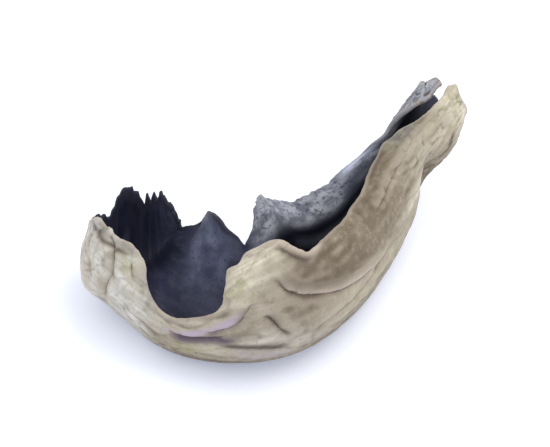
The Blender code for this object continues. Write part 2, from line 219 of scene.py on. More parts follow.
# Rolled lip on the near margin beside the slit
LIP_CENTRE = 0.512
LIP_SPAN = 0.034
LIP_BAND = 14.0
LIP_ROLL = 0.6

# Spacing of the solid's own mesh, which sets the height it rests at
SOLID_GRAIN = 1.10

# The folds are drawn sharper than the solid's mesh can carry
FOLD_SHARPNESS = 0.62
FOLD_LIP_SHARE = 0.75

# Small bites along the margins, deeper where they are torn:
# place, degrees from the keel, reach along and round, extra depth
NIBBLE = 0.16
TOOTH = 1.25
TOOTH_SHARPNESS = 0.8
FINE_TOOTH = 0.4
TORN = (
    (0.99, -50, 2.5, 7.0, 1.0),
    (0.45, -120, 6.0, 2.5, 0.7),
    (0.00, -60, 2.0, 9.0, 0.9),
    (0.30, -110, 4.0, 2.5, 0.3),
)

# Rounded rim between the two faces: its rows, and how far it bulges in half thicknesses
RIM_ROWS = 4
RIM_BULGE = 0.6

# Fine relief of the felted outside, which fades out towards the rim: streaks along the length, a sharp
# crumple and a net of thin creases, all bent by a broad noise
RELIEF_BAND = 1.0
RIDGE_TOP = 0.5
STREAK = 0.08
STREAK_LONG = 6.0
STREAK_SHORT = 0.80
CRUMPLE = 0.05
CRUMPLE_SIZE = 1.3
CREASE = 0.10
CREASE_LONG = 4.2
CREASE_SHORT = 1.7
CREASE_WIDTH = 0.10
WARP = 0.8
WARP_START = 3

# Gnarled lumps round the torn stem end: height, sizes, then place, degrees, reach along and round
LUMP = 0.45
LUMP_TOP = 0.4
LUMP_LONG = 1.6
LUMP_SHORT = 1.1
GNARLED = (0.02, -150, 7.0, 6.0)

# Soft ripples of the smooth inside, and how often and how far from the rim its folds are smoothed
RIPPLE = 0.05
RIPPLE_LONG = 5.0
RIPPLE_SHORT = 2.6
SMOOTH_ROUNDS = 6
SMOOTH_BAND = 2.0

# Smoothing rounds and limit, in 1/mm, of the hollowness that lays painted shade into pits and painted
# highlight onto ridges
HOLLOW_ROUNDS = 3
HOLLOW_LIMIT = 1.5

# Coloured strokes on the outside, with painted highlight, shade and shadow among them, and a painted shine
# and shade on the brim of the horn's far side: path as (place, degrees), width, strength. Each end fades over
# this share of the path.
STROKE_FADE = 0.25
STROKES = {
    # Painted shadow under the overlapping lips of the folds at the front of the scoop
    "lip_shadow": (
        (((0.706, 94), (0.672, 95), (0.645, 95), (0.618, 93), (0.594, 91)), 0.54, 1.0),
        (((0.650, 103), (0.624, 106), (0.607, 110), (0.599, 119), (0.594, 130)), 0.34, 0.75),
    ),
    # Painted highlight, lilac in tone, along the edges of those lips and of a fold below them
    "lip_highlight": (
        (((0.726, 98), (0.692, 102), (0.662, 106), (0.636, 110), (0.611, 116), (0.597, 129)), 0.40, 1.0),
        (((0.616, 78), (0.590, 62), (0.560, 58), (0.530, 58)), 0.6, 0.35),
    ),
    # Painted highlight on the tops of fold ridges and on the rolled lip of the near margin
    "pale": (
        (((0.556, 184), (0.540, 176), (0.527, 165), (0.515, 158), (0.503, 154), (0.488, 155), (0.470, 156)),
         0.32, 0.9),
        (((0.560, 148), (0.545, 131), (0.527, 121), (0.500, 115), (0.472, 108), (0.440, 104), (0.380, 97)),
         0.24, 0.9),
        (((0.985, 107), (0.940, 108), (0.900, 98), (0.872, 80)), 0.40, 0.9),
        (((0.720, 108), (0.690, 115), (0.660, 124), (0.636, 130), (0.618, 144)), 0.50, 0.5),
    ),
    # Dark lines: painted shade in the folds' grooves and under their lips, and dark lines along the horn's
    # near rim and the panel's top edge
    "shade_and_dark_lines": (
        (((0.566, 148), (0.553, 138), (0.543, 124), (0.524, 114), (0.500, 109), (0.480, 104)), 0.26, 0.9),
        (((0.505, 110), (0.470, 102), (0.440, 98), (0.400, 94)), 0.24, 0.45),
        (((0.550, 146), (0.533, 131), (0.500, 121), (0.465, 114), (0.430, 109)), 0.34, 0.45),
        (((0.572, 114), (0.564, 102), (0.557, 93), (0.542, 80)), 0.36, 1.0),
        (((0.905, 147), (0.868, 139), (0.847, 128), (0.836, 114), (0.842, 92), (0.841, 66)), 0.40, 0.8),
        (((0.960, 134), (0.908, 132), (0.885, 134), (0.860, 138), (0.815, 147)), 0.32, 0.9),
        (((0.548, 174), (0.537, 163), (0.525, 154), (0.512, 148), (0.495, 147)), 0.26, 0.9),
        (((0.635, 90), (0.614, 85), (0.598, 81), (0.581, 77), (0.562, 73), (0.535, 71)), 0.40, 1.0),
        (((0.996, 104), (0.978, 116), (0.952, 128), (0.925, 134)), 0.34, 0.8),
        (((0.075, 108), (0.095, 101), (0.119, 82), (0.128, 66)), 0.34, 0.9),
        (((0.133, 52), (0.150, 36), (0.180, 28)), 0.30, 0.7),
        (((0.090, 152), (0.170, 158), (0.240, 150), (0.310, 140)), 0.22, 0.4),
        (((0.205, 191), (0.240, 187), (0.270, 179), (0.300, 171), (0.330, 165)), 0.45, 0.5),
    ),
    # Painted highlight along the far margin of the brim
    "shine": (
        (((0.255, -98), (0.222, -102), (0.200, -107), (0.182, -109), (0.164, -113), (0.149, -120),
          (0.130, -127)), 0.58, 0.95),
    ),
    # Painted shade on the brim below that highlight
    "shade": (
        (((0.290, -78), (0.262, -81), (0.234, -85), (0.217, -88), (0.203, -89), (0.185, -92), (0.168, -97)),
         1.0, 0.85),
    ),
    "film": (
        (((0.998, 106), (0.950, 128), (0.900, 139), (0.860, 146), (0.820, 152), (0.790, 152)), 0.50, 1.0),
        (((0.790, 152), (0.765, 138), (0.735, 122)), 0.35, 0.7),
    ),
}

# Coloured patches on the outside, and patches of painted sheen on the inside: place, degrees, reach along and
# round, strength
PATCHES = {
    "cream": (
        (0.578, 160, 3.8, 4.4, 1.0),
        (0.600, 136, 3.2, 3.0, 0.6),
        (0.576, 130, 2.6, 2.6, 0.5),
        (0.645, 118, 4.0, 1.6, 0.5),
        (0.700, 110, 5.0, 2.6, 0.4),
        (0.578, 84, 4.0, 2.2, 0.3),
        (0.644, 80, 4.0, 1.6, 0.35),
        (0.165, 138, 4.6, 3.6, 0.45),
        (0.432, 88, 6.0, 2.4, 0.3),
        (0.035, 130, 4.2, 7.0, 0.9),
        (0.235, 100, 5.5, 1.6, 0.6),
        (0.305, 80, 6.0, 2.0, 0.3),
        (0.200, 130, 4.5, 3.5, 0.35),
        (0.110, 130, 4.0, 4.0, 0.45),
    ),
    "ivory": (
        (0.888, 108, 4.6, 9.0, 1.0),
        (0.805, 112, 5.0, 9.0, 1.0),
        (0.960, 108, 4.6, 7.0, 1.0),
        (0.772, 88, 2.8, 4.5, 1.0),
        (0.590, 82, 4.0, 1.6, 0.45),
        (0.545, 72, 4.0, 1.5, 0.45),
    ),
    "brown": (
        (0.525, 136, 3.6, 2.8, 0.9),
        (0.530, 128, 2.4, 1.0, 0.8),
        (0.500, 122, 3.4, 1.3, 0.9),
        (0.462, 119, 4.0, 1.6, 0.8),
        (0.425, 114, 3.4, 1.2, 0.7),
        (0.460, 134, 4.5, 2.2, 0.3),
        (0.340, 152, 4.0, 2.6, 0.5),
        (0.260, 154, 4.0, 2.2, 0.3),
        (0.512, 104, 2.4, 0.9, 0.45),
        (0.275, 180, 4.0, 1.4, 0.9),
        (0.172, 184, 4.2, 2.4, 1.0),
    ),
    "green": (
        (0.170, 188, 3.6, 2.2, 0.6),
        (0.150, 178, 3.0, 1.5, 0.45),
        (0.030, 138, 3.4, 4.6, 0.8),
        (0.370, 72, 8.0, 2.2, 0.45),
        (0.810, 138, 2.0, 1.8, 0.9),
        (0.885, 104, 2.0, 1.8, 0.6),
        (0.800, 116, 1.6, 1.6, 0.5),
        (0.600, 150, 1.8, 1.6, 0.8),
        (0.650, 78, 3.6, 1.3, 1.0),
    ),
    "grey": (
        (0.030, -150, 6.0, 5.5, 1.0),
        (0.000, -60, 2.5, 9.0, 0.9),
        (0.160, 183, 3.4, 2.0, 0.25),
    ),
    # Painted sheen on the upper tongue and the lobe of the inside
    "painted_sheen": (
        (0.700, -58, 5.0, 3.4, 1.0),
        (0.640, -72, 3.4, 3.0, 1.0),
        (0.950, -88, 4.4, 4.4, 0.7),
    ),
}

# Width of the pale rim all round, and of the rim of the far side, which sets in over these degrees
RIM_BAND = 0.55
FAR_RIM = 0.7
FAR_RIM_FADE = 10.0

# The far side's rim is grey along the horn (start, end, fade) and dark from the bend on, where it also
# runs round the end of the mouth, up to these degrees on the near side
GREY_RIM_PLACE = (0.06, 0.58, 0.05)
FAR_RIM_PLACE = (0.54, 0.58)
MOUTH_RIM_PLACE = (0.955, 0.965)
MOUTH_RIM_ANGLE = (70.0, 85.0)

# The inside of the horn gets painted shade up to these shares of its far side, and its brim beyond them a
# grey
# painted sheen: places as start, end, fade
DEEP_START = 0.71
DEEP_END = 0.81
DEEP_PLACE = (-0.02, 0.62, 0.06)
BRIM_PLACE = (0.08, 0.56, 0.06)

# Other places of the inside with painted shade: place, degrees, reach along and round, strength
DEEP = (
    (0.985, -10, 4.5, 4.5, 0.65),
    (0.960, 60, 5.0, 9.0, 0.8),
    (0.890, -40, 4.0, 4.5, 0.5),
    (0.470, -97, 3.0, 3.0, 0.3),
    (0.010, -55, 2.6, 5.0, 0.95),
    (0.690, -8, 7.0, 5.0, 0.35),
)

# A layer of colour. It shows by its painted mark, spread over a span, times spots of noise (size in
# millimetres, detail, stretch along the sheet), spread over a cut, times its strength.
# A span or cut is from, to, and the values there where they aren't 0 and 1.
Layer = namedtuple("Layer", "tone mark span spots cut strength", defaults=(None, None, None, None, 1.0))

# The felted outside, from the bottom layer to the top one
FELT_BASE = (0.160, 0.125, 0.080)
FELT_LAYERS = (
    Layer((0.224, 0.181, 0.121), spots=(4.0, 3.0), cut=(0.36, 0.64)),
    Layer((0.900, 0.830, 0.660), mark="cream", spots=(2.2, 3.0), cut=(0.28, 0.52, 0.60, 1.0)),
    Layer((0.790, 0.775, 0.700), mark="ivory", spots=(1.9, 4.0), cut=(0.30, 0.55, 0.45, 1.0)),
    Layer((0.130, 0.096, 0.066), mark="brown", spots=(1.8, 3.0), cut=(0.30, 0.55, 0.65, 1.0)),
    Layer((0.400, 0.400, 0.215), mark="green", spots=(1.3, 3.0), cut=(0.40, 0.58)),
    Layer((0.345, 0.395, 0.500), mark="grey"),
    # Dark streaks, pale mottling that keeps off the brown patches, and dark flecks
    Layer((0.150, 0.115, 0.078), spots=(0.75, 4.0, 8.0), cut=(0.38, 0.60), strength=0.30),
    Layer((0.500, 0.440, 0.340), mark="brown", span=(0.0, 0.8, 0.30, 0.05),
          spots=(0.9, 4.0), cut=(0.52, 0.68)),
    Layer((0.120, 0.090, 0.062), spots=(0.42, 3.0), cut=(0.58, 0.70), strength=0.35),
    # Painted highlight on fold ridges and the rolled lip, then a grey film along the margin
    Layer((0.560, 0.450, 0.380), mark="pale", strength=0.90),
    Layer((0.270, 0.275, 0.245), mark="film", strength=0.75),
    # Painted shade in the thin creases of the relief
    Layer((0.150, 0.115, 0.080), mark="crease", strength=0.35),
    # Painted shade in pits and painted highlight on ridges
    Layer((0.085, 0.062, 0.045), mark="hollow", span=(0.05, 0.8), strength=0.75),
    Layer((0.580, 0.505, 0.395), mark="hollow", span=(-0.10, -0.9), strength=0.30),
    # Painted highlight along the fold lips
    Layer((0.470, 0.385, 0.490), mark="lip_highlight", strength=0.80),
    # Dark lines, mostly painted shade in the grooves of the folds
    Layer((0.095, 0.070, 0.052), mark="shade_and_dark_lines"),
    # Blue-black flecks in the grey fringe
    Layer((0.050, 0.048, 0.075), mark="grey", spots=(0.7, 3.0), cut=(0.50, 0.60), strength=0.75),
    # Painted shadow under the overlapping lips of the scoop's folds
    Layer((0.110, 0.084, 0.108), mark="lip_shadow"),
    Layer((0.520, 0.440, 0.370), mark="rim", strength=0.35),
    Layer((0.300, 0.300, 0.320), mark="grey_rim"),
    Layer((0.030, 0.030, 0.050), mark="far_rim"),
)

# The smooth inside, from the bottom layer to the top one
INSIDE_BASE = (0.016, 0.017, 0.042)
INSIDE_LAYERS = (
    Layer((0.032, 0.034, 0.078), spots=(3.5, 3.0), cut=(0.35, 0.68)),
    # Painted sheen on the upper tongue and the lobe
    Layer((0.205, 0.228, 0.340), mark="painted_sheen", spots=(1.6, 3.0), cut=(0.34, 0.60, 0.45, 1.0)),
    # Pale veins and dark flecks
    Layer((0.095, 0.100, 0.150), spots=(0.8, 4.0, 5.0), cut=(0.50, 0.66), strength=0.40),
    Layer((0.014, 0.014, 0.026), spots=(0.40, 3.0), cut=(0.56, 0.68), strength=0.45),
    # Painted shade deep in the horn and in the other dark places
    Layer((0.005, 0.006, 0.012), mark="deep_shade", strength=0.94),
    # Grey painted sheen on the brim, broken up by noise, with dark pocks
    Layer((0.365, 0.380, 0.430), mark="brim", spots=(0.8, 4.0, 3.0), cut=(0.38, 0.60, 0.30, 1.0)),
    Layer((0.045, 0.048, 0.070), mark="brim", spots=(0.45, 3.0), cut=(0.54, 0.64), strength=0.75),
    # Painted shade and painted highlight on the far brim
    Layer((0.030, 0.036, 0.062), mark="shade"),
    Layer((0.600, 0.620, 0.780), mark="shine"),
    # Painted highlight on ridges
    Layer((0.130, 0.135, 0.170), mark="hollow", span=(-0.10, -0.8), strength=0.25),
    Layer((0.200, 0.195, 0.200), mark="rim", strength=0.30),
    Layer((0.022, 0.023, 0.042), mark="far_rim"),
)

# Bumps of both surfaces, the coarse ones first: spots, the felt's with a roughness too, depth, strength
FELT_BUMPS = (
    ((1.0, 4.0, 4.0, 0.65), 0.22, 0.8),
    ((0.30, 3.0, None, 0.65), 0.12, 0.9),
)
INSIDE_BUMPS = (
    ((1.4, 4.0, 2.5), 0.14, 0.6),
    ((0.32, 3.0), 0.05, 0.6),
)

# Gloss: the felt is matt with a sheen, and the inside is a soft satin that varies in patches
FELT_FINISH = {
    "Roughness": 0.90,
    "Specular IOR Level": 0.22,
    "Sheen Weight": 0.18,
    "Sheen Roughness": 0.45,
    "Sheen Tint": (0.95, 0.92, 0.86),
}
INSIDE_FINISH = {"Specular IOR Level": 0.20}
INSIDE_SATIN = (1.4, 3.0)
INSIDE_SATIN_CUT = (0.3, 0.7, 0.46, 0.66)

# The table, with a faint glow that keeps it as white as in the photo
TABLE_HALF = 2.0
TABLE_FINISH = {
    "Base Color": (0.90, 0.90, 0.92),
    "Emission Color": (0.62, 0.72, 1.0),
    "Emission Strength": 0.28,
    "Roughness": 0.6,
}

# Daylight: the sky's colour at the horizon, and from this height up, where 1 is overhead
SKY_LOW = (1.15, 1.20, 1.38)
SKY_HIGH = (0.90, 0.91, 0.93)
SKY_RISE = 0.6

# The window, on the right
WINDOW_SIZE = 0.42
WINDOW_POWER = 1.1
WINDOW_COLOUR = (1.0, 0.98, 0.94)
WINDOW_PLACE = (0.26, 0.10, 0.42)
WINDOW_AIM = (0.0, 0.0, 0.005)

# Camera at the photo's angle, with a long lens from afar
CAMERA_ELEVATION = 40
CAMERA_DISTANCE = 1.2
CAMERA_AIM = (0.0, 0.0, 0.0072)
CAMERA_LENS = 628.3
CAMERA_SENSOR = 36
CAMERA_NEAR = 0.01
CAMERA_FAR = 10

# Sockets of a Mix node that mixes colours
MIX_FACTOR = 0
MIX_FIRST = 6
MIX_SECOND = 7
MIX_RESULT = 2


def spline(table, at):
    """Natural cubic through the rows of a table: first column is the place, the rest are values."""
    place, value = table[:, 0], table[:, 1:]
    count = len(place)
    gap = np.diff(place)
    system = np.zeros((count, count))
    target = np.zeros((count, value.shape[1]))
    system[0, 0] = system[-1, -1] = 1
    for i in range(1, count - 1):
        system[i, i - 1:i + 2] = gap[i - 1], 2 * (gap[i - 1] + gap[i]), gap[i]
        target[i] = 6 * ((value[i + 1] - value[i]) / gap[i] - (value[i] - value[i - 1]) / gap[i - 1])
    bend = np.linalg.solve(system, target)
    k = np.clip(np.searchsorted(place, at, side="right") - 1, 0, count - 2)
    step = (at - place[k])[:, None]
    width = gap[k][:, None]
    slope = (value[k + 1] - value[k]) / width - width * (2 * bend[k] + bend[k + 1]) / 6
    curl = step ** 2 * bend[k] / 2 + step ** 3 * (bend[k + 1] - bend[k]) / (6 * width)
    return value[k] + step * slope + curl


def steady(table, at):
    """Cubic through (place, value) rows that never overshoots them."""
    place, value = table[:, 0], table[:, 1]
    gap = np.diff(place)
    rise = np.diff(value) / gap
    slope = np.zeros(len(place))
    slope[0], slope[-1] = rise[0], rise[-1]
    for i in range(1, len(place) - 1):
        if rise[i - 1] * rise[i] > 0:
            before, after = 2 * gap[i] + gap[i - 1], gap[i] + 2 * gap[i - 1]
            slope[i] = (before + after) / (before / rise[i - 1] + after / rise[i])
    k = np.clip(np.searchsorted(place, at, side="right") - 1, 0, len(place) - 2)
    s = (at - place[k]) / gap[k]
    ends = (1 + 2 * s) * (1 - s) ** 2 * value[k] + s ** 2 * (3 - 2 * s) * value[k + 1]
    return ends + gap[k] * (s * (1 - s) ** 2 * slope[k] + s ** 2 * (s - 1) * slope[k + 1])


def smooth(x, low, high):
    """0 up to low, 1 from high on, easing between them."""
    s = np.clip((x - low) / (high - low), 0, 1)
    return s * s * (3 - 2 * s)


def between(x, start, end, fade):
    """1 well inside start to end, easing to 0 at both."""
    return smooth(x, start, start + fade) * (1 - smooth(x, end - fade, end))


def noise_field(x, y, seed):
    """Smooth noise in -1 to 1 at each (x, y)."""
    return np.array([noise.noise((float(a), float(b), seed)) for a, b in zip(x, y)])


def patch(place, angle, centre, turn, reach_long, reach_round):
    """1 in the middle of a patch of the sheet, easing to 0 round it."""
    long_way = (place - centre) * LENGTH / reach_long
    round_way = (angle - turn) * ARC / reach_round
    return np.exp(-long_way ** 2 - round_way ** 2)


def unflattened(flat):
    """Place along the sheet and angle round it of flattened points."""
    return flat[:, 0] / LENGTH, -flat[:, 1] / ARC


def along_path(here, path):
    """Signed distance of flattened places from a path, left side positive, and how far along it each lies."""
    points = np.array(path) * (LENGTH, -ARC)
    best = np.full(len(here), FAR_AWAY)
    side = np.zeros(len(here))
    run = np.zeros(len(here))
    total = np.linalg.norm(np.diff(points, axis=0), axis=1)
    start = np.concatenate([[0], np.cumsum(total)])
    for k in range(len(points) - 1):
        leg = points[k + 1] - points[k]
        t = np.clip((here - points[k]) @ leg / (leg @ leg), 0, 1)
        away = here - points[k] - t[:, None] * leg
        distance = np.linalg.norm(away, axis=1)
        closer = distance < best
        best = np.where(closer, distance, best)
        side = np.where(closer, np.sign(leg[0] * away[:, 1] - leg[1] * away[:, 0]), side)
        run = np.where(closer, (start[k] + t * total[k]) / start[-1], run)
    return best * side, run


def fold_offset(place, angle):
    """Offset of the sheet along its outward normal from the drawn folds."""
    offset = np.zeros(len(place))
    here = np.stack([place * LENGTH, -angle * ARC], 1)
    for path, lift, depth, width in FOLDS:
        width *= FOLD_SHARPNESS
        d, run = along_path(here, path)
        fade = between(run, 0.0, 1.0, FOLD_FADE)
        lip = lift * smooth(d, -LIP_START * width, width) * np.exp(-np.clip(d, 0, None) / (LIP_TAIL * width))
        trench = depth * np.exp(-((d + TRENCH_SHIFT * width) / width) ** 2)
        offset += fade * (FOLD_LIP_SHARE * lip - trench)
    return offset


def swelling_offset(place, angle):
    """Offset of the sheet along its outward normal from the broad swellings and dents."""
    offset = np.zeros(len(place))
    for *where, height in SWELLINGS:
        offset += height * patch(place, angle, *where)
    return offset


def margins(place):
    """Angles from the keel to the near margin and to the far margin, which is negative."""
    run = place * LENGTH / RIM_LENGTH
    near = steady(NEAR_MARGIN, place) + RIM_ROUGHNESS * noise_field(run, 0 * run, NEAR_SEED)
    far = steady(FAR_MARGIN, place) + RIM_ROUGHNESS * noise_field(run, 0 * run, FAR_SEED)
    return near, -far


def middle(place, angle):
    """Middle of the unwrinkled sheet at a place along it and an angle round it."""
    x, y, z, heading, bearing, lean, near_w, near_h, far_w, far_h, reach, drop = spline(STATIONS, place).T
    turn = np.radians(angle)
    out = np.where(angle > 0, near_w, far_w) * np.sin(turn)
    rise = np.where(angle > 0, near_h, far_h) * (1 - np.cos(turn))
    brim = np.clip((-angle / steady(FAR_MARGIN, place) - BRIM_START) / (1 - BRIM_START), 0, None)
    out -= reach * brim ** BRIM_REACH_CURVE
    rise -= drop * brim ** BRIM_DROP_CURVE
    heading, lean, bearing = np.radians(heading), np.radians(lean), np.radians(bearing)
    near_side = np.stack([-np.sin(heading), np.cos(heading), 0 * heading], 1)
    far_side = np.stack([-np.cos(bearing), -np.sin(bearing), 0 * heading], 1)
    near_share = smooth(angle, -KEEL_BLEND, KEEL_BLEND)[:, None]
    side = near_share * near_side + (1 - near_share) * far_side
    up = np.stack([-np.cos(heading) * np.sin(lean), -np.sin(heading) * np.sin(lean), np.cos(lean)], 1)
    return np.stack([x, y, z], 1) + out[:, None] * side + rise[:, None] * up


def outward(place, angle):
    """Unit normal of the sheet, pointing to the felted outside."""
    long_way = middle(place + NORMAL_STEP, angle) - middle(place - NORMAL_STEP, angle)
    cross_way = middle(place, angle - NORMAL_TURN) - middle(place, angle + NORMAL_TURN)
    normal = np.cross(long_way, cross_way)
    return normal / np.maximum(np.linalg.norm(normal, axis=1), TINY)[:, None]


def keel_rest(place, angle):
    """1 on the part of the keel that lies on the table, 0 away from it."""
    round_way = 1 - smooth(np.abs(angle), KEEL_HALF, KEEL_SOFT)
    return round_way * between(place, KEEL_START, KEEL_END, KEEL_FADE)


def gathered(place, angle):
    """1 on the far side of the bend, where the sheet is gathered, 0 away from it."""
    return smooth(-angle, BEND_NEAR, BEND_FAR) * between(place, BEND_START, BEND_END, BEND_FADE)


def resampled(points, step):
    """The same curve with points about one step apart."""
    run = np.concatenate([[0], np.cumsum(np.linalg.norm(np.diff(points, axis=0), axis=1))])
    at = np.linspace(0, run[-1], max(2, round(run[-1] / step)) + 1)
    return np.stack([np.interp(at, run, points[:, 0]), np.interp(at, run, points[:, 1])], 1)


def flat_point(place, across):
    """Place on the flattened sheet, in millimetres along and round it."""
    near, far = margins(place)
    return np.stack([place * LENGTH, -ARC * (near + (far - near) * across)], 1)


def outline(step):
    """Closed outline of the flattened sheet, anticlockwise."""
    share = np.linspace(0, 1, OUTLINE_SAMPLES)
    stem, mouth = steady(STEM_EDGE, share), 1 - steady(MOUTH_EDGE, share)
    zero, one = np.zeros(OUTLINE_SAMPLES), np.ones(OUTLINE_SAMPLES)
    near_side = flat_point(stem[0] + (mouth[0] - stem[0]) * share, zero)
    far_side = flat_point(mouth[-1] + (stem[-1] - mouth[-1]) * share, one)
    sides = near_side, flat_point(mouth, share), far_side, flat_point(stem, share)[::-1]
    return np.concatenate([resampled(side, step)[:-1] for side in sides])


def edge_distance(here, border):
    """Distance of flattened places from the outline."""
    best = np.full(len(here), FAR_AWAY)
    for a, b in zip(border, np.roll(border, -1, axis=0)):
        leg = b - a
        t = np.clip((here - a) @ leg / (leg @ leg), 0, 1)
        best = np.minimum(best, np.linalg.norm(here - a - t[:, None] * leg, axis=1))
    return best


def ragged(border):
    """The outline with the small bites and teeth of a dry margin."""
    leg = np.roll(border, -1, axis=0) - border
    run = np.concatenate([[0], np.cumsum(np.linalg.norm(leg, axis=1))[:-1]])
    along = np.roll(border, -1, axis=0) - np.roll(border, 1, axis=0)
    inward = np.stack([-along[:, 1], along[:, 0]], 1) / np.linalg.norm(along, axis=1)[:, None]
    depth = np.full(len(border), NIBBLE)
    for *where, extra in TORN:
        depth += extra * patch(*unflattened(border), *where)
    bite = np.abs(noise_field(run / TOOTH, 0 * run, TOOTH_SEED)) ** TOOTH_SHARPNESS
    bite += FINE_TOOTH * np.abs(noise_field(run / (FINE_TOOTH * TOOTH), 0 * run, FINE_TOOTH_SEED))
    return border + inward * (depth * bite)[:, None]


def within(flat, border):
    """Whether flattened places lie inside a closed outline."""
    crossed = np.zeros(len(flat), bool)
    for a, b in zip(border, np.roll(border, -1, axis=0)):
        spans = (a[1] > flat[:, 1]) != (b[1] > flat[:, 1])
        if a[1] != b[1]:
            crossing = a[0] + (flat[:, 1] - a[1]) * (b[0] - a[0]) / (b[1] - a[1])
            crossed ^= spans & (flat[:, 0] < crossing)
    return crossed


def flat_mesh(border, step):
    """Even triangles over the flattened sheet: points, faces, distance of each point from the outline."""
    low, high = border.min(0), border.max(0)
    rows = np.arange(low[1], high[1], step * ROW_RATIO)
    columns = np.arange(low[0], high[0], step)
    grid = np.array([(x + step / 2 * (k % 2), y) for k, y in enumerate(rows) for x in columns])
    grid = grid[within(grid, border)]
    grid = grid[edge_distance(grid, border) > INSET * step]
    flat = [Vector(p) for p in np.concatenate([border, grid])]
    made = geometry.delaunay_2d_cdt(flat, [], [list(range(len(border)))], 1, MERGE)
    points, faces = np.array([tuple(p) for p in made[0]]), np.array(made[2])
    used = np.unique(faces)
    number = np.zeros(len(points), int)
    number[used] = np.arange(len(used))
    return points[used], number[faces], edge_distance(points[used], border)


def sheet(flat, edge):
    """Middle of the wrinkled sheet at flattened places with their distance from the outline."""
    place, angle = unflattened(flat)
    near, _ = margins(place)
    run, girth = flat[:, 0], flat[:, 1]
    coarse = run / WRINKLE_LONG, girth / WRINKLE_SHORT
    offset = fold_offset(place, angle) + swelling_offset(place, angle)
    offset += WRINKLE * noise_field(*coarse, WRINKLE_SEED)
    offset += FINE_WRINKLE * noise_field(FINE_RATIO * coarse[0], FINE_RATIO * coarse[1], FINE_SEED)
    ruffle = RUFFLE * noise_field(run / RUFFLE_LENGTH, girth / RUFFLE_ROUND, RUFFLE_SEED)
    offset += ruffle * (1 - smooth(edge, 0.0, RUFFLE_BAND))
    lip = np.exp(-((place - LIP_CENTRE) / LIP_SPAN) ** 2) * (1 - smooth(near - angle, 0.0, LIP_BAND))
    offset += LIP_ROLL * lip
    offset *= (1 - keel_rest(place, angle)) * (1 - BEND_CALM * gathered(place, angle))
    return middle(place, angle) + offset[:, None] * outward(place, angle)


def thickness(flat, edge):
    """Sheet thickness: thinner at the margins, thicker where it grew on the wood."""
    inner = smooth(edge, 0.0, MARGIN_BAND)
    stem = 1 - smooth(flat[:, 0], 0.0, STEM_BAND)
    return WALL_MARGIN + (WALL - WALL_MARGIN) * inner + (WALL_STEM - WALL) * stem * inner


def normals(points, faces):
    """Unit normals at the points of a triangle mesh, weighted by area."""
    a, b, c = (points[faces[:, k]] for k in range(3))
    across = np.cross(b - a, c - a)
    total = np.zeros_like(points)
    for k in range(3):
        np.add.at(total, faces[:, k], across)
    return total / np.maximum(np.linalg.norm(total, axis=1), TINY)[:, None]


def neighbour_mean(values, faces):
    """Mean of each point's neighbours in a triangle mesh."""
    total = np.zeros_like(values)
    count = np.zeros(len(values))
    for k in range(3):
        for other in (1, 2):
            np.add.at(total, faces[:, k], values[faces[:, (k + other) % 3]])
            np.add.at(count, faces[:, k], 1)
    return total / (count[:, None] if values.ndim == 2 else count)


def hollowness(points, faces, normal):
    """How hollow the surface is at each point, in 1/mm: positive in pits, negative on ridges.

    The two curvatures there add up to four times the mean rise of the points one step away,
    divided by that step squared.
    """
    rise = ((neighbour_mean(points, faces) - points) * normal).sum(1)
    bend = 4 * rise / GRAIN ** 2
    for _ in range(HOLLOW_ROUNDS):
        bend = neighbour_mean(bend, faces)
    return bend


def border_loop(faces):
    """The points along the open border of a triangle mesh, in order."""
    sides = {(int(f[k]), int(f[(k + 1) % 3])) for f in faces for k in range(3)}
    after = {a: b for a, b in sides if (b, a) not in sides}
    loop = [min(after)]
    while after[loop[-1]] != loop[0]:
        loop.append(after[loop[-1]])
    return np.array(loop)


def ridges(x, y, seed, top):
    """Noise with sharp ridges, up to top and down to 2 below it."""
    return top - 2 * np.abs(noise_field(x, y, seed))


def felt_relief(flat):
    """Height of the fine relief on the outside, and where its thin creases run."""
    run, girth = flat[:, 0], flat[:, 1]
    bend = noise_field(run / CREASE_LONG + WARP_START, girth / CREASE_LONG, WARP_SEED)
    streak = ridges(run / STREAK_LONG, (girth + WARP * bend) / STREAK_SHORT, STREAK_SEED, RIDGE_TOP)
    crumple = ridges(run / CRUMPLE_SIZE + bend, girth / CRUMPLE_SIZE - bend, CRUMPLE_SEED, RIDGE_TOP)
    net = noise_field(run / CREASE_LONG + bend, girth / CREASE_SHORT - bend, CREASE_SEED)
    crease = 1 - smooth(np.abs(net), 0.0, CREASE_WIDTH)
    lump = ridges(run / LUMP_LONG, girth / LUMP_SHORT, LUMP_SEED, LUMP_TOP)
    gnarl = patch(*unflattened(flat), *GNARLED)
    return STREAK * streak + CRUMPLE * crumple - CREASE * crease + LUMP * gnarl * lump, crease


def rest_height():
    """Lowest point of the solid's sheet, which the table face is measured from."""
    flat, _, edge = flat_mesh(outline(SOLID_GRAIN), SOLID_GRAIN)
    return sheet(flat, edge)[:, 2].min() - WALL / 2 + REST_CUT


def outer_and_inner(flat, faces, edge, centre, normal, half):
    """Points of the felted outside and of the smooth inside, and the creases of the outside."""
    relief, crease = felt_relief(flat)
    calm = 1 - keel_rest(*unflattened(flat))
    outer = centre + normal * (half + (relief * calm * smooth(edge, 0.0, RELIEF_BAND))[:, None])
    ripple = RIPPLE * noise_field(flat[:, 0] / RIPPLE_LONG, flat[:, 1] / RIPPLE_SHORT, RIPPLE_SEED)
    inner = centre - normal * (half + ripple[:, None])
    soft = smooth(edge, 0.0, SMOOTH_BAND)[:, None]
    for _ in range(SMOOTH_ROUNDS):
        inner += (neighbour_mean(inner, faces) - inner) * soft
    return outer, inner, crease


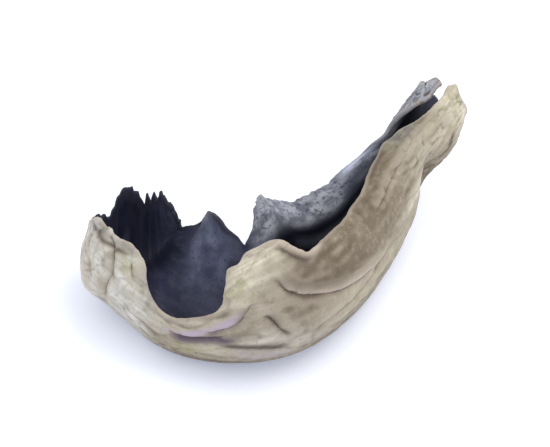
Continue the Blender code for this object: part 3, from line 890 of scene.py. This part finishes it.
def rounded_rim(loop, centre, normal, half):
    """Points of the rim between the two faces, row by row from the outside to the inside."""
    along = centre[np.roll(loop, -1)] - centre[np.roll(loop, 1)]
    away = np.cross(along, normal[loop])
    away /= np.linalg.norm(away, axis=1)[:, None]
    rows = []
    for k in range(1, RIM_ROWS):
        turn = math.pi * k / RIM_ROWS
        swing = math.cos(turn) * normal[loop] + RIM_BULGE * math.sin(turn) * away
        rows.append(centre[loop] + half[loop] * swing)
    return rows


def closed_faces(faces, loop, count):
    """Faces over the points of outside, inside and rim, with the material of each.

    Material 0 is the felt, which goes round the rim, and 1 is the inside.
    """
    polygons = faces.tolist() + (faces[:, ::-1] + count).tolist()
    material = [0] * len(faces) + [1] * len(faces) + [0] * (RIM_ROWS * len(loop))
    first = 2 * count + np.arange(len(loop))
    rows = [loop, *(first + k * len(loop) for k in range(RIM_ROWS - 1)), loop + count]
    for upper, lower in zip(rows, rows[1:]):
        for k in range(len(loop)):
            n = (k + 1) % len(loop)
            polygons.append((int(upper[n]), int(upper[k]), int(lower[k]), int(lower[n])))
    return polygons, material


def stroke(flat, path, width):
    """1 along a path on the sheet, easing to 0 beside it and at its ends."""
    d, run = along_path(flat, path)
    return np.exp(-(d / width) ** 2) * between(run, 0.0, 1.0, STROKE_FADE)


def strongest(marks, shape):
    """The highest of some marks at each point; the last value of a mark is its strength."""
    return np.max([strength * shape(*where) for *where, strength in marks], axis=0)


def painted_marks(flat, edge):
    """How strong each mark of colour is at each point of the sheet, by the mark's name."""
    place, angle = unflattened(flat)
    _, far = margins(place)
    mouth = smooth(place, *MOUTH_RIM_PLACE) * (1 - smooth(angle, *MOUTH_RIM_ANGLE))
    far_edge = (1 - smooth(edge, 0.0, FAR_RIM)) * np.maximum(smooth(-angle, 0.0, FAR_RIM_FADE), mouth)
    turned = smooth(angle / far, DEEP_START, DEEP_END)
    dark = strongest(DEEP, lambda *where: patch(place, angle, *where))
    amounts = {
        "rim": 1 - smooth(edge, 0.0, RIM_BAND),
        "far_rim": far_edge * smooth(place, *FAR_RIM_PLACE),
        "grey_rim": far_edge * between(place, *GREY_RIM_PLACE),
        "brim": turned * between(place, *BRIM_PLACE),
        # Painted shade inside the horn short of its brim, and in the other dark places
        "deep_shade": np.maximum((1 - turned) * between(place, *DEEP_PLACE), dark),
    }
    for name, marks in STROKES.items():
        amounts[name] = strongest(marks, lambda path, width: stroke(flat, path, width))
    for name, marks in PATCHES.items():
        amounts[name] = strongest(marks, lambda *where: patch(place, angle, *where))
    return amounts


def build_flesh():
    """The sheet as one closed mesh: outside, inside and a rounded rim between them."""
    flat, faces, edge = flat_mesh(ragged(outline(GRAIN)), GRAIN)
    centre = sheet(flat, edge)
    normal = normals(centre, faces)
    half = thickness(flat, edge)[:, None] / 2
    outer, inner, crease = outer_and_inner(flat, faces, edge, centre, normal, half)
    loop = border_loop(faces)
    rim = rounded_rim(loop, centre, normal, half)
    points = np.concatenate([outer, inner, *rim]) - (CENTRE_X, CENTRE_Y, rest_height())
    points[:, 2] = np.maximum(points[:, 2], 0.0)
    polygons, material = closed_faces(faces, loop, len(flat))
    mesh = bpy.data.meshes.new("ear_flesh")
    mesh.from_pydata((points * MM).tolist(), [], polygons)
    mesh.polygons.foreach_set("material_index", material)
    mesh.shade_smooth()
    source = np.concatenate([np.arange(len(flat)), np.arange(len(flat))] + [loop] * len(rim))
    attribute = mesh.attributes.new("sheet_mm", "FLOAT_VECTOR", "POINT")
    attribute.data.foreach_set("vector", np.c_[flat[source], np.zeros(len(source))].ravel())
    outer_hollow = hollowness(outer, faces, normal)
    hollow = [outer_hollow, hollowness(inner, faces, -normal)] + [outer_hollow[loop]] * len(rim)
    painted_on = {"hollow": np.clip(np.concatenate(hollow), -HOLLOW_LIMIT, HOLLOW_LIMIT)}
    for name, amount in {"crease": crease, **painted_marks(flat, edge)}.items():
        painted_on[name] = amount[source]
    for name, values in painted_on.items():
        attribute = mesh.attributes.new(name, "FLOAT", "POINT")
        attribute.data.foreach_set("value", values)
    made = bpy.data.objects.new("ear_flesh", mesh)
    bpy.context.scene.collection.objects.link(made)
    return made


def feed(tree, socket, value):
    """Gives a socket its value: another socket, a colour or a number."""
    if isinstance(value, bpy.types.NodeSocket):
        tree.links.new(value, socket)
    elif isinstance(value, tuple):
        socket.default_value = (*value, 1)
    else:
        socket.default_value = value


def blend(tree, factor, first, second):
    """Mix of two colours: the first at factor 0, the second at 1."""
    node = tree.nodes.new("ShaderNodeMix")
    node.data_type = "RGBA"
    feed(tree, node.inputs[MIX_FACTOR], factor)
    feed(tree, node.inputs[MIX_FIRST], first)
    feed(tree, node.inputs[MIX_SECOND], second)
    return node.outputs[MIX_RESULT]


def times(tree, first, second):
    """Product of two values, each a number or a socket."""
    node = tree.nodes.new("ShaderNodeMath")
    node.operation = "MULTIPLY"
    feed(tree, node.inputs[0], first)
    feed(tree, node.inputs[1], second)
    return node.outputs[0]


def spread(tree, value, low, high, to_low=0.0, to_high=1.0):
    """Value spread from one range to another and held there."""
    node = tree.nodes.new("ShaderNodeMapRange")
    tree.links.new(value, node.inputs["Value"])
    for name, number in (("From Min", low), ("From Max", high), ("To Min", to_low), ("To Max", to_high)):
        node.inputs[name].default_value = number
    return node.outputs["Result"]


def painted(tree, name):
    """A mark that is painted on the mesh."""
    node = tree.nodes.new("ShaderNodeAttribute")
    node.attribute_name = name
    return node.outputs["Fac"]


def grain(tree, size, detail, stretch=None, roughness=0.5):
    """Noise of a size in millimetres: on the object, or stretched along the sheet."""
    node = tree.nodes.new("ShaderNodeTexNoise")
    node.inputs["Detail"].default_value = detail
    node.inputs["Roughness"].default_value = roughness
    if stretch:
        place = tree.nodes.new("ShaderNodeAttribute")
        place.attribute_name = "sheet_mm"
        scale = tree.nodes.new("ShaderNodeVectorMath")
        scale.operation = "MULTIPLY"
        scale.inputs[1].default_value = (1 / (size * stretch), 1 / size, 1 / size)
        tree.links.new(place.outputs["Vector"], scale.inputs[0])
        tree.links.new(scale.outputs[0], node.inputs["Vector"])
        node.inputs["Scale"].default_value = 1.0
    else:
        place = tree.nodes.new("ShaderNodeTexCoord")
        tree.links.new(place.outputs["Object"], node.inputs["Vector"])
        node.inputs["Scale"].default_value = 1 / (size * MM)
    return node.outputs["Fac"]


def shown(tree, layer):
    """How much of a layer shows at each place."""
    factors = []
    if layer.mark:
        mark = painted(tree, layer.mark)
        factors.append(spread(tree, mark, *layer.span) if layer.span else mark)
    if layer.spots:
        factors.append(spread(tree, grain(tree, *layer.spots), *layer.cut))
    if layer.strength < 1:
        factors.append(layer.strength)
    amount = factors[0]
    for factor in factors[1:]:
        amount = times(tree, amount, factor)
    return amount


def layered(tree, base, layers):
    """The base colour with layers of colour laid over it in their order."""
    colour = base
    for layer in layers:
        colour = blend(tree, shown(tree, layer), colour, layer.tone)
    return colour


def bumped(tree, bumps):
    """Normal of a surface with its bumps laid over each other."""
    normal = None
    for spots, depth, strength in bumps:
        node = tree.nodes.new("ShaderNodeBump")
        node.inputs["Strength"].default_value = strength
        node.inputs["Distance"].default_value = depth * MM
        tree.links.new(grain(tree, *spots), node.inputs["Height"])
        if normal:
            tree.links.new(normal, node.inputs["Normal"])
        normal = node.outputs["Normal"]
    return normal


def new_material(name, finish):
    """A material, its node tree and its shader, with the values that are the same all over."""
    made = bpy.data.materials.new(name)
    made.use_nodes = True
    shader = made.node_tree.nodes["Principled BSDF"]
    for socket_name, value in finish.items():
        feed(made.node_tree, shader.inputs[socket_name], value)
    return made, made.node_tree, shader


def felt_material():
    """The felted outside: tan to cream, streaked along its length, with painted shade in its creases, pits
    and fold grooves and painted highlight on its ridges and fold lips.
    """
    made, tree, shader = new_material("felted_outside", FELT_FINISH)
    tree.links.new(layered(tree, FELT_BASE, FELT_LAYERS), shader.inputs["Base Color"])
    tree.links.new(bumped(tree, FELT_BUMPS), shader.inputs["Normal"])
    return made


def inside_material():
    """The smooth inside: blue-black with a soft gloss, with painted shade in its recesses and a grey painted
    sheen where it turns over into the brim.
    """
    made, tree, shader = new_material("smooth_inside", INSIDE_FINISH)
    satin = spread(tree, grain(tree, *INSIDE_SATIN), *INSIDE_SATIN_CUT)
    tree.links.new(layered(tree, INSIDE_BASE, INSIDE_LAYERS), shader.inputs["Base Color"])
    tree.links.new(satin, shader.inputs["Roughness"])
    tree.links.new(bumped(tree, INSIDE_BUMPS), shader.inputs["Normal"])
    return made


def table_material():
    """The plain white of the table."""
    made, _, _ = new_material("white_table", TABLE_FINISH)
    return made


def build_table():
    """The plain pale table that the mushroom lies on."""
    low, high = -TABLE_HALF, TABLE_HALF
    mesh = bpy.data.meshes.new("table_top")
    mesh.from_pydata([(low, low, 0), (high, low, 0), (high, high, 0), (low, high, 0)], [], [(0, 1, 2, 3)])
    mesh.materials.append(table_material())
    made = bpy.data.objects.new("table_top", mesh)
    bpy.context.scene.collection.objects.link(made)
    return made


def turn_along(made, direction):
    """Turns a light or camera to look along a direction."""
    made.rotation_mode = "QUATERNION"
    made.rotation_quaternion = direction.to_track_quat("-Z", "Y")


def add_daylight():
    """Soft light from the sky, a little bluer and brighter near the horizon."""
    world = bpy.data.worlds.new("daylight")
    world.use_nodes = True
    tree = world.node_tree
    place = tree.nodes.new("ShaderNodeTexCoord")
    split = tree.nodes.new("ShaderNodeSeparateXYZ")
    tree.links.new(place.outputs["Generated"], split.inputs[0])
    height = spread(tree, split.outputs["Z"], 0.0, SKY_RISE)
    tree.links.new(blend(tree, height, SKY_LOW, SKY_HIGH), tree.nodes["Background"].inputs["Color"])
    bpy.context.scene.world = world


def add_window():
    """A large soft window on the right, which gives the shadows their side."""
    light = bpy.data.lights.new("window", "AREA")
    light.shape = "SQUARE"
    light.size = WINDOW_SIZE
    light.energy = WINDOW_POWER
    light.color = WINDOW_COLOUR
    made = bpy.data.objects.new("window", light)
    bpy.context.scene.collection.objects.link(made)
    made.location = WINDOW_PLACE
    turn_along(made, Vector(WINDOW_AIM) - made.location)


def add_camera():
    """The camera at the photo's viewing angle."""
    optics = bpy.data.cameras.new("camera")
    optics.lens = CAMERA_LENS
    optics.sensor_width = CAMERA_SENSOR
    optics.clip_start = CAMERA_NEAR
    optics.clip_end = CAMERA_FAR
    made = bpy.data.objects.new("camera", optics)
    bpy.context.scene.collection.objects.link(made)
    elevation = math.radians(CAMERA_ELEVATION)
    back = Vector((0, -math.cos(elevation), math.sin(elevation)))
    made.location = Vector(CAMERA_AIM) + back * CAMERA_DISTANCE
    turn_along(made, -back)
    bpy.context.scene.camera = made


flesh = build_flesh()
flesh.data.materials.append(felt_material())
flesh.data.materials.append(inside_material())
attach(flesh, "root")
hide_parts(NODE)

floor = build_table()

add_daylight()
add_window()
add_camera()
bpy.context.scene.view_settings.view_transform = "Standard"
